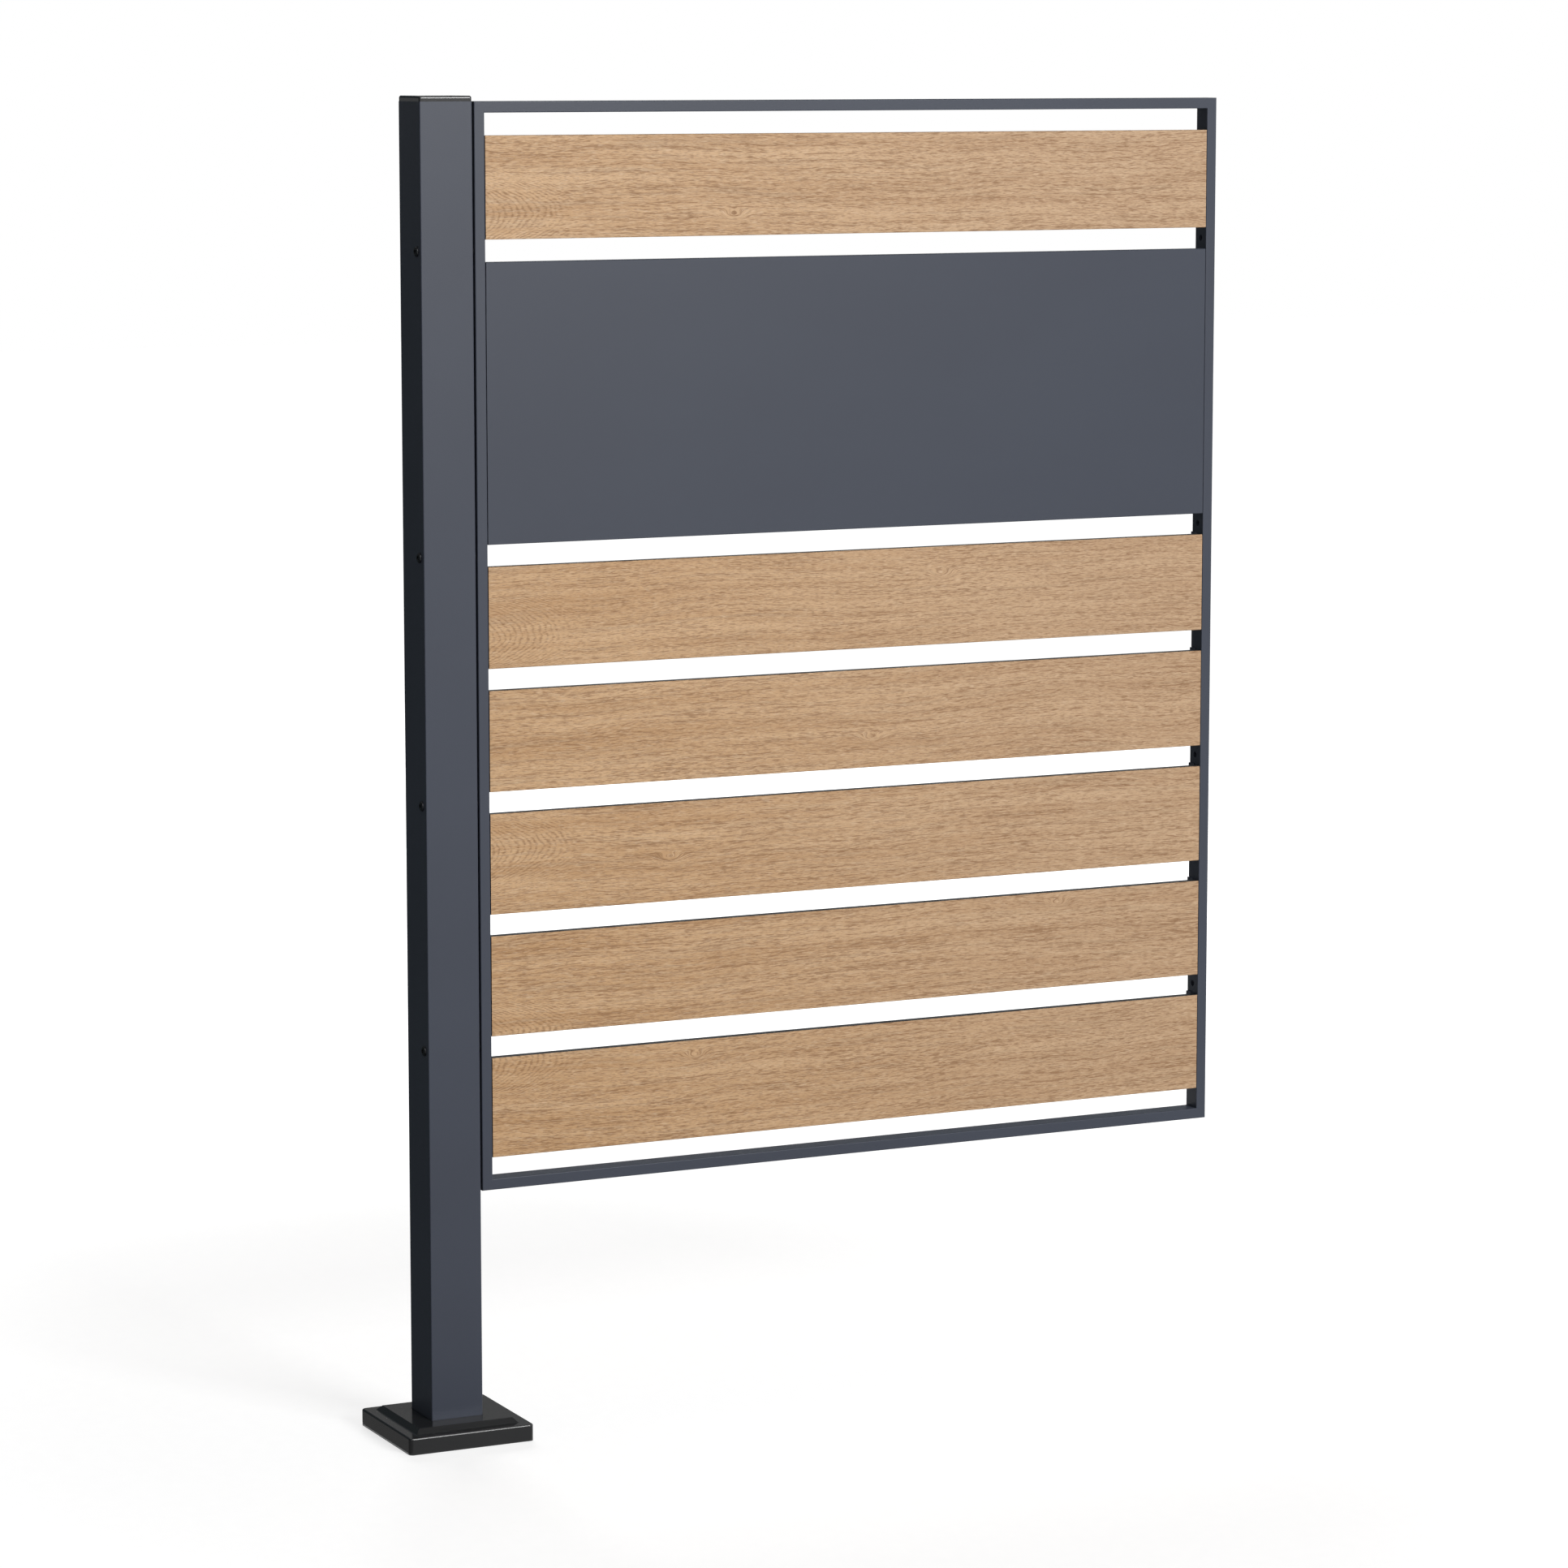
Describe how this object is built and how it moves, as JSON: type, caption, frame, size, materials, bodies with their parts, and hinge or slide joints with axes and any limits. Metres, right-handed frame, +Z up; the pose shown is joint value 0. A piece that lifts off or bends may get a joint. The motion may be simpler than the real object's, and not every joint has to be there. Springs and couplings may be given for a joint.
{
  "type": "bin screen",
  "caption": "Bin screen bay: square post on a bolted foot with a moulded cover, carrying a framed panel of spaced oak-decor slats and a tall plain board.",
  "frame": {"origin": "on the ground, under the middle of the post, at the centre of the four anchor holes", "axes": "+X along the panel from the post to the free stile, +Y to the back, +Z up the post"},
  "size_m": [1.015, 0.146, 1.458],
  "materials": {
    "anthracite_powder_coat": "fine satin powder coat",
    "anthracite_board": "smooth matt laminate face",
    "oak_decor_board": "oak grain decor, matt",
    "black_moulded_plastic": "semi-gloss moulding",
    "zinc_steel": "bright zinc plate",
    "blackened_steel": "blackened, lightly oiled"
  },
  "bodies": {
    "screen": {"foot_plate": "anthracite_powder_coat", "post_tube": "anthracite_powder_coat", "post_cap": "black_moulded_plastic", "frame_stile_left": "anthracite_powder_coat", "frame_stile_right": "anthracite_powder_coat", "frame_rail_top": "anthracite_powder_coat", "frame_rail_bottom": "anthracite_powder_coat", "slat_1": "oak_decor_board", "tall_panel": "anthracite_board", "slat_2": "oak_decor_board", "slat_3": "oak_decor_board", "slat_4": "oak_decor_board", "slat_5": "oak_decor_board", "slat_6": "oak_decor_board", "bracket_slat_1_left": "anthracite_powder_coat", "bracket_tall_panel_left": "anthracite_powder_coat", "bracket_slat_2_left": "anthracite_powder_coat", "bracket_slat_3_left": "anthracite_powder_coat", "bracket_slat_4_left": "anthracite_powder_coat", "bracket_slat_5_left": "anthracite_powder_coat", "bracket_slat_6_left": "anthracite_powder_coat", "board_screws_left": "zinc_steel", "bracket_slat_1_right": "anthracite_powder_coat", "bracket_tall_panel_right": "anthracite_powder_coat", "bracket_slat_2_right": "anthracite_powder_coat", "bracket_slat_3_right": "anthracite_powder_coat", "bracket_slat_4_right": "anthracite_powder_coat", "bracket_slat_5_right": "anthracite_powder_coat", "bracket_slat_6_right": "anthracite_powder_coat", "board_screws_right": "zinc_steel", "panel_bolts": "blackened_steel", "stile_spacers": "black_moulded_plastic", "threaded_bushes_left": "anthracite_powder_coat", "threaded_bushes_right": "anthracite_powder_coat"},
    "cover": {"base_cover": "black_moulded_plastic"}
  },
  "joints": [
    {"name": "cover_slide", "type": "slide", "parent": "screen", "child": "cover", "axis": [0, 0, 1], "range_m": [0, 0.249]}
  ]
}
